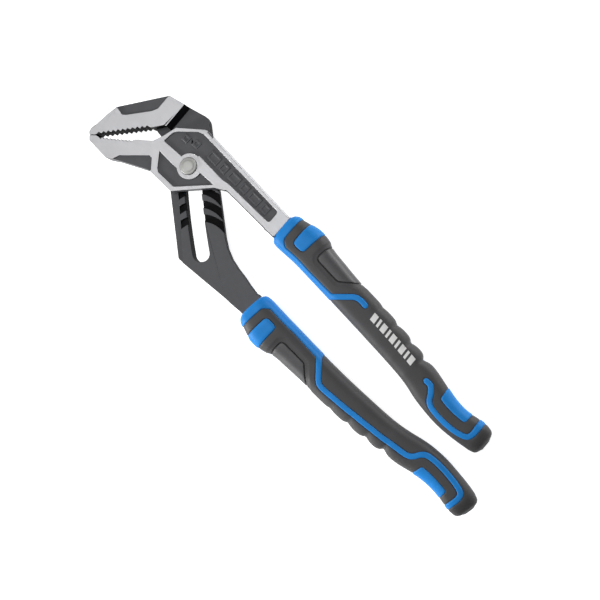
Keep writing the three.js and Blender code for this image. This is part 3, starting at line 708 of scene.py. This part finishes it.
class GripSurface:
    """A grip's outer surface as triangles over stations and angles, cut along the zones' edges."""

    COLUMNS = 84
    CAP = 1.5  # stations beyond the tail that close the end
    MOUTH = 6  # up to this station the inside follows the tang, with a clearance
    TANG_CLEARANCE = 0.35
    CORE_TAPER = 160  # past this station the inside draws back from the tail

    def __init__(self, hand):
        self.hand = hand
        rows = np.unique(
            np.concatenate(
                [
                    np.linspace(0, 3, 10),
                    np.linspace(3, 8, 9),
                    np.linspace(8, 158, 126),
                    np.linspace(158, 168, 16),
                    np.linspace(168, GRIP_LENGTH, 8),
                    GRIP_LENGTH + np.array([0.3, 0.8, self.CAP]),
                ]
            )
        )
        angles = even_angles(self.COLUMNS)
        s, angle = np.meshgrid(rows, angles, indexing="ij")
        self.s, self.angle = list(s.ravel()), list(angle.ravel())
        width = len(angles)
        self.triangles = []
        for k in range(len(rows) - 1):
            for i in range(width - 1):
                a = k * width + i
                b, c, d = a + 1, a + width, a + width + 1
                self.triangles += [(a, b, d), (a, d, c)] if (k + i) % 2 else [(a, b, c), (b, d, c)]
        self.fields = self.measured()
        for name, heights in ZONE_HEIGHTS.items():
            for level, _ in heights:
                self.split(name, level)

    def measured(self):
        """The distance of every point from each zone's edge, by the zone's name."""
        s, angle = np.array(self.s), np.array(self.angle)
        t = across(self.hand, s, angle)
        hook_side, stripe_side = np.sin(angle) > -1e-6, np.sin(angle) < 1e-6
        fields = {
            "collar_stripe": stripes(s, t, hook_side, stripe_side),
            "button": distance_to_area(s, t, BUTTON),
            "thumb_pad": distance_to_area(s, t, THUMB_PAD),
            "tail_patch": distance_to_area(s, t, TAIL_PATCH),
        }
        return {name: list(values) for name, values in fields.items()}

    def split(self, name, level, snap=0.06):
        """Cuts the triangles along the line where a zone's distance has the level."""
        off = np.array(self.fields[name]) - level
        off[np.abs(off) < snap] = 0
        off = list(off)
        middles = {}

        def middle(a, b):
            key = (min(a, b), max(a, b))
            if key not in middles:
                w = off[a] / (off[a] - off[b])
                for values in (self.s, self.angle, *self.fields.values()):
                    values.append(values[a] + w * (values[b] - values[a]))
                middles[key] = len(self.s) - 1
            return middles[key]

        kept = []
        for a, b, c in self.triangles:
            fa, fb, fc = off[a], off[b], off[c]
            if not (min(fa, fb, fc) < 0 < max(fa, fb, fc)):
                kept.append((a, b, c))
                continue
            if fa * fb * fc == 0:
                while off[a] != 0:
                    a, b, c = b, c, a
                m = middle(b, c)
                kept += [(a, b, m), (a, m, c)]
                continue
            while (off[a] > 0) == (off[b] > 0) or (off[a] > 0) == (off[c] > 0):
                a, b, c = b, c, a
            m, n = middle(a, b), middle(a, c)
            kept += [(a, m, n), (m, b, c), (m, c, n)]
        self.triangles = kept

    def outside(self):
        """Points of the outer surface, raised and lowered by the zones."""
        s, angle = np.array(self.s), np.array(self.angle)
        base = skin_point(self.hand, s, angle, BASE_INSET)
        height = np.zeros(len(s))
        for name, stops in ZONE_HEIGHTS.items():
            places, values = zip(*stops)
            away = np.array(self.fields[name])
            height += np.interp(away, places, values)
        return base + skin_normal(self.hand, s, angle) * height[:, None]

    def inside(self):
        """Points of the inner surface: round the core, and round the tang at the mouth."""
        s, angle = np.array(self.s), np.array(self.angle)
        last = GRIP_LENGTH + self.CAP
        deep = np.where(s > self.CORE_TAPER, self.CORE_TAPER + (s - self.CORE_TAPER) * 0.35, s)
        shrink = np.clip((last - s) / 5, 0, 1)
        round_core = skin_point(self.hand, deep, angle, SKIN_INSET, shrink)
        return np.where((s < self.MOUTH)[:, None], self.tang_point(s, angle), round_core)

    def tang_point(self, s, angle):
        """Points on the tang's rectangle, with the clearance, in the directions of the angles."""
        outer = across(self.hand, s, angle)
        z = half_thickness(s) * bend(np.sin(angle)) * self.hand.outward
        x, _ = self.hand.place(s, outer * 0)
        clearance = self.TANG_CLEARANCE
        width = np.interp(s, *self.hand.tang_widths.T) + clearance
        low = np.interp(x, *self.hand.tang_heights[:, :2].T) - clearance
        high = np.interp(x, *self.hand.tang_heights[:, ::2].T) + clearance
        centre = (low + high) / 2
        scale = np.minimum(
            width / np.maximum(np.abs(outer), 1e-6),
            (high - low) / 2 / np.maximum(np.abs(z - centre), 1e-6),
        )
        x, y = self.hand.place(s, outer * scale)
        return np.column_stack([x, y, centre + (z - centre) * scale])

    def pieces(self):
        """The closed skin pieces by name: points and triangles."""
        outside, inside = self.outside(), self.inside()
        count = len(outside)
        _, first, same = np.unique(
            np.round(outside, 5), axis=0, return_index=True, return_inverse=True
        )
        weld = first[same.ravel()]
        triangles = weld[np.array(self.triangles)]
        a, b, c = triangles.T
        triangles = triangles[(a != b) & (b != c) & (a != c)]
        names = list(ZONE_HEIGHTS)
        zone_of = np.full(len(triangles), -1)
        for k, name in enumerate(names):
            away = np.array(self.fields[name])[triangles].mean(axis=1)
            zone_of[(away < 0) & (zone_of < 0)] = k
        made = {}
        for k, name in [(-1, "sleeve"), *enumerate(names)]:
            chosen = triangles[zone_of == k]
            made[name] = closed_skin(np.vstack([outside, inside]), chosen, count)
        return made


def closed_skin(points, triangles, count):
    """A sheet of triangles, its copy count points further on, and walls along its border."""
    edges = {}
    for a, b, c in triangles.tolist():
        for edge in ((a, b), (b, c), (c, a)):
            edges[edge] = edges.get(edge, 0) + 1
    faces = triangles.tolist() + [(a + count, c + count, b + count) for a, b, c in triangles.tolist()]
    faces += [(b, a, a + count, b + count) for a, b in edges if (b, a) not in edges]
    used, renumbered = np.unique(np.concatenate([np.ravel(f) for f in faces]), return_inverse=True)
    order = dict(zip(used.tolist(), range(len(used))))
    return points[used], [tuple(order[v] for v in face) for face in faces]


def even_angles(count):
    """Angles that go round a section of the grip in even steps of length."""
    fine = np.linspace(0, 2 * math.pi, 4001)
    x, z = 11 * bend(np.cos(fine)), 8.4 * bend(np.sin(fine))
    length = np.concatenate([[0], np.cumsum(np.hypot(np.diff(x), np.diff(z)))])
    return np.interp(np.linspace(0, length[-1], count + 1), length, fine)


def section(hand, s):
    """The section's middle and half width at a station."""
    outer, inner = edge_of(hand, s), inner_edge(s)
    return (outer - inner) / 2, (outer + inner) / 2


def across(hand, s, angle, inset=0.0, shrink=1.0):
    """The distance from the middle line of a surface that lies inset inside the grip's."""
    middle, width = section(hand, s)
    beyond = np.clip((s - GRIP_LENGTH) / GripSurface.CAP, 0, 1)
    return middle + (width - inset) * (1 - beyond) * shrink * bend(np.cos(angle))


def skin_point(hand, s, angle, inset, shrink=1.0):
    """Points of that surface on the tool."""
    beyond = np.clip((s - GRIP_LENGTH) / GripSurface.CAP, 0, 1)
    t = across(hand, s, angle, inset, shrink)
    z = (half_thickness(s) - inset) * (1 - beyond) * shrink * bend(np.sin(angle)) * hand.outward
    x, y = hand.place(np.minimum(s, GRIP_LENGTH - inset / 2), t)
    return np.column_stack([x, y, z])


def skin_normal(hand, s, angle):
    """Unit normals of the base surface, pointing outwards."""
    ds, da = 0.15, 0.02
    low, high = np.clip(s - ds, 0, GRIP_LENGTH - 1), np.clip(s + ds, 0.3, GRIP_LENGTH)
    along = skin_point(hand, high, angle, 0) - skin_point(hand, low, angle, 0)
    middle = np.clip(s, 0, GRIP_LENGTH - 0.2)
    round_it = skin_point(hand, middle, angle + da, 0) - skin_point(hand, middle, angle - da, 0)
    normal = np.cross(along, round_it)
    normal /= np.linalg.norm(normal, axis=1)[:, None] + 1e-12
    place = skin_point(hand, middle, angle, 0)
    centre_x, centre_y = hand.place(middle, section(hand, middle)[0])
    out = place - np.column_stack([centre_x, centre_y, centre_x * 0])
    return normal * np.sign((normal * out).sum(axis=1))[:, None]


def build_grip(hand):
    """The skin pieces of one grip, and the looks of the core under them."""
    finishes = {
        "sleeve": (RUBBER, "black_rubber"),
        "collar_stripe": (BLUE, "blue_plastic"),
        "button": (BLUE, "blue_plastic"),
        "thumb_pad": (PAD, "grey_rubber"),
        "tail_patch": (BLUE, "blue_plastic"),
    }
    for name, (points, faces) in GripSurface(hand).pieces().items():
        node = f"{hand.prefix}_{name}"
        mesh = mesh_of(f"{node}_skin", points, faces)
        smooth(mesh, 50)
        material, slot = finishes[name]
        piece(f"{node}_skin", mesh, hand.body, [material], [node])
    core = NODES[f"{hand.prefix}_core"]
    core.data.materials.clear()
    core.data.materials.append(CORE)


build_grip(FRONT)
build_grip(REAR)


# ---------------------------------------------------------------- pivot
TURNED_SIDES = 96


def turned(profile_points):
    """Points and faces of a solid of revolution about the bolt's axis."""
    sides = TURNED_SIDES
    points, faces = [], []
    for radius, z in profile_points:
        for k in range(sides):
            angle = 2 * math.pi * k / sides
            points.append((radius * math.cos(angle), radius * math.sin(angle), z))
    for row in range(len(profile_points) - 1):
        for k in range(sides):
            a, b = row * sides + k, row * sides + (k + 1) % sides
            faces.append((a, b, b + sides, a + sides))
    return points, faces


def close_ends(points, faces):
    """The same solid, closed by a flat face at each end."""
    sides = TURNED_SIDES
    last = len(points) - sides
    return points, [*faces, tuple(range(sides - 1, -1, -1)), tuple(range(last, last + sides))]


BOLT_PROFILE = [
    (3.2, -9.8), (3.55, -9.7), (3.8, -9.3), (3.8, 3.8), (4.6, 3.8), (4.8, 4.05), (4.8, 5.9),
    (5.05, 6.08), (5.1, 6.3), (5.02, 6.6), (4.75, 6.85), (4.2, 6.98), (3.75, 7.0), (3.6, 7.05),
    (3.4, 7.18), (2.4, 7.28), (1.2, 7.34), (0.25, 7.36),
]


def bolt_body():
    mesh = mesh_of("bolt_body", *close_ends(*turned(BOLT_PROFILE)))
    smooth(mesh, 35)
    piece("bolt_body", mesh, "pivot", [BOLT], ["pivot_bolt"])


SLOT_DIRECTION = -41.6 - 3.75  # degrees, along the slot where the bolt is
BLOCK_RADIUS, BLOCK_HALF_FLAT = 4.9, 3.8
BLOCK_HEIGHTS = (-6.2, -0.45)


def bolt_block():
    """The flatted block under the front forging, which slides in the slot."""
    slot_along = math.radians(SLOT_DIRECTION)
    sides = 72
    points = []
    for z in BLOCK_HEIGHTS:
        for k in range(sides):
            angle = 2 * math.pi * k / sides
            u = BLOCK_RADIUS * math.cos(angle)
            v = np.clip(BLOCK_RADIUS * math.sin(angle), -BLOCK_HALF_FLAT, BLOCK_HALF_FLAT)
            x = u * math.cos(slot_along) - v * math.sin(slot_along)
            y = u * math.sin(slot_along) + v * math.cos(slot_along)
            points.append((x, y, z))
    faces = [(k, (k + 1) % sides, (k + 1) % sides + sides, k + sides) for k in range(sides)]
    faces += [tuple(range(sides - 1, -1, -1)), tuple(range(sides, 2 * sides))]
    mesh = mesh_of("bolt_block", points, faces)
    smooth(mesh, 30)
    made = piece("bolt_block", mesh, "pivot", [BOLT], ["pivot_bolt"])
    soften(made, 0.25)


def soften(made, width, segments=3):
    """Rounds a piece's sharp edges."""
    bevel_edges = made.modifiers.new("soft_edges", "BEVEL")
    bevel_edges.width = width * MM
    bevel_edges.segments = segments
    bevel_edges.limit_method = "ANGLE"
    bevel_edges.angle_limit = math.radians(30)
    bevel_edges.use_clamp_overlap = True
    bevel_edges.harden_normals = True


HOLE_RADIUS = 4.15  # through the washer and the nut


def washer():
    """A washer with rounded rims and a chamfered hole."""
    inner, outer = HOLE_RADIUS, 8.2
    ring = [
        (inner, -6.45), (inner + 0.15, -6.3), (7.95, -6.3), (8.13, -6.38), (outer, -6.55),
        (outer, -6.95), (8.13, -7.12), (7.95, -7.2), (inner + 0.15, -7.2), (inner, -7.05),
        (inner, -6.45),
    ]
    mesh = mesh_of("washer_ring", *turned(ring))
    smooth(mesh, 35)
    piece("washer_ring", mesh, "pivot", [BOLT], ["pivot_washer"])


def nut():
    """A hexagon nut: flats, corners turned down to a cone at both faces, and a chamfered hole."""
    sides = 144
    corner = 7.5
    apothem = corner * math.cos(math.pi / 6)
    cone = (
        (-10.0, 6.35), (-9.85, 6.75), (-9.6, 7.1), (-9.3, 7.36), (-9.0, corner), (-8.3, corner),
        (-8.05, 7.36), (-7.8, 7.1), (-7.6, 6.75), (-7.5, 6.35),
    )
    hole = ((-7.5, 4.6), (-7.7, HOLE_RADIUS), (-9.8, HOLE_RADIUS), (-10.0, 4.6))
    points, faces = [], []
    for z, reach in (*cone, *hole):
        for k in range(sides):
            angle = 2 * math.pi * k / sides
            off = (angle + math.pi / 6) % (math.pi / 3) - math.pi / 6
            flat = apothem / math.cos(off)
            radius = min(flat, reach) if reach > 5 else reach
            points.append((radius * math.cos(angle), radius * math.sin(angle), z))
    rows = len(cone) + len(hole)
    for row in range(rows):
        for k in range(sides):
            a, b = row * sides + k, row * sides + (k + 1) % sides
            below = ((row + 1) % rows) * sides - row * sides
            faces.append((a, b, b + below, a + below))
    mesh = mesh_of("hex_nut", points, faces)
    smooth(mesh, 24)
    piece("hex_nut", mesh, "pivot", [BOLT], ["pivot_nut"])


bolt_body()
bolt_block()
washer()
nut()

# ---------------------------------------------------------------- printed mark
def angle_of(s, t):
    """The angle at which the front grip's hook face has the place t at station s."""
    middle, width = section(FRONT, s)
    share = (t - middle) / width
    return np.arccos(np.clip(np.sign(share) * np.abs(share) ** (1 / ROUNDNESS), -1, 1))


MARK_START = 74.0  # station of the first bar
MARK_BARS = 9
WIDE_BAR, NARROW_BAR, BAR_GAP = 3.4, 1.6, 1.4
BAR_LOW, BAR_HIGH = 0.1, 4.9  # the bars' ends across the grip
BAR_SLANT = -0.2
INK_ABOVE, INK_BELOW = 0.08, 0.05  # of the ink, over and under the rubber's surface


def printed_bar(name, start, length):
    """A thin slanted bar of ink that follows the front grip's hook face."""
    steps = 6
    s, t = np.meshgrid(np.linspace(0, 1, steps), np.linspace(0, 1, steps), indexing="ij")
    s, t = s.ravel(), t.ravel()
    tall = BAR_LOW + (BAR_HIGH - BAR_LOW) * t
    station = start + length * s + BAR_SLANT * (tall - BAR_LOW)
    angle = angle_of(station, tall)
    base = skin_point(FRONT, station, angle, BASE_INSET)
    normal = skin_normal(FRONT, station, angle)
    points = np.vstack([base + normal * INK_ABOVE, base - normal * INK_BELOW])
    top = [
        (k * steps + i, k * steps + i + 1, (k + 1) * steps + i + 1, (k + 1) * steps + i)
        for k in range(steps - 1)
        for i in range(steps - 1)
    ]
    count = steps * steps
    sheet = np.array([(a, b, c) for a, b, c, _ in top] + [(a, c, d) for a, _, c, d in top])
    points, faces = closed_skin(points, sheet, count)
    mesh = mesh_of(name, points, faces)
    smooth(mesh, 40)
    piece(name, mesh, "front_half", [INK])


def printed_mark():
    """A plain row of slanted bars, wide and narrow by turns."""
    station = MARK_START
    for k in range(MARK_BARS):
        length = WIDE_BAR if k % 2 == 0 else NARROW_BAR
        printed_bar(f"mark_bar_{k}", station, length)
        station += length + BAR_GAP


printed_mark()


# ---------------------------------------------------------------- stage, light and camera
def studio():
    """A pale paper floor, a dim even sky and three soft lamps."""
    bpy.ops.mesh.primitive_plane_add(size=12, location=(0, 0, -0.0002))
    floor = bpy.context.object
    floor.name = "studio_floor"
    paper = Finish("studio_paper", Metallic=0.0, Specular_IOR_Level=0.1, Roughness=1.0)
    paper.colour(paper.blend(paper.noise(40), (0.94, 0.94, 0.94), (0.95, 0.95, 0.95)))
    paper.shader.inputs["Emission Color"].default_value = (1, 1, 1, 1)
    paper.shader.inputs["Emission Strength"].default_value = 0.76
    floor.data.materials.append(paper.material)
    world = bpy.data.worlds.new("studio_world")
    bpy.context.scene.world = world
    world.use_nodes = True
    background = world.node_tree.nodes["Background"]
    background.inputs["Color"].default_value = (1, 1, 1, 1)
    background.inputs["Strength"].default_value = 0.12
    lamps = [
        area_light("left", (-0.45, -1.0, 0.3), 0.3, 14),
        area_light("right", (0.0, 1.0, 0.28), 0.3, 6),
        area_light("top", (-0.3, -0.05, 1.1), 0.6, 4.6),
    ]


def area_light(name, place, size, power):
    """A round soft lamp, aimed at the frame's origin."""
    light = bpy.data.lights.new(name, "AREA")
    light.shape = "DISK"
    light.size = size
    light.energy = power
    made = bpy.data.objects.new(name, light)
    made.location = place
    made.rotation_euler = (-Vector(place)).to_track_quat("-Z", "Y").to_euler()
    bpy.context.scene.collection.objects.link(made)
    return made


CAMERA_PLACE = (220.5, 41.6, 687.37)
CAMERA_TARGET = (100.9, -15.2, 0.0)
CAMERA_RIGHT = (0.73358, 0.65486, -0.18174)
VIEW_WIDTH = 345.0  # of what the picture shows, at the target
SENSOR = 36.0


def camera():
    """The camera, placed on the tool's own frame and turned so that its right side is given."""
    data = bpy.data.cameras.new("camera")
    made = bpy.data.objects.new("camera", data)
    place, target = at(*CAMERA_PLACE), at(*CAMERA_TARGET)
    back = (place - target).normalized()
    up = back.cross(Vector(CAMERA_RIGHT)).normalized()
    right = up.cross(back)
    made.matrix_world = Matrix.Translation(place) @ Matrix((right, up, back)).transposed().to_4x4()
    data.sensor_width = SENSOR
    data.lens = SENSOR * (place - target).length / (VIEW_WIDTH * MM)
    data.clip_start = 0.01
    bpy.context.scene.collection.objects.link(made)
    bpy.context.scene.camera = made


def plain_colours():
    settings = bpy.context.scene.view_settings
    settings.view_transform = "Standard"
    settings.look = "None"


studio()
camera()
plain_colours()
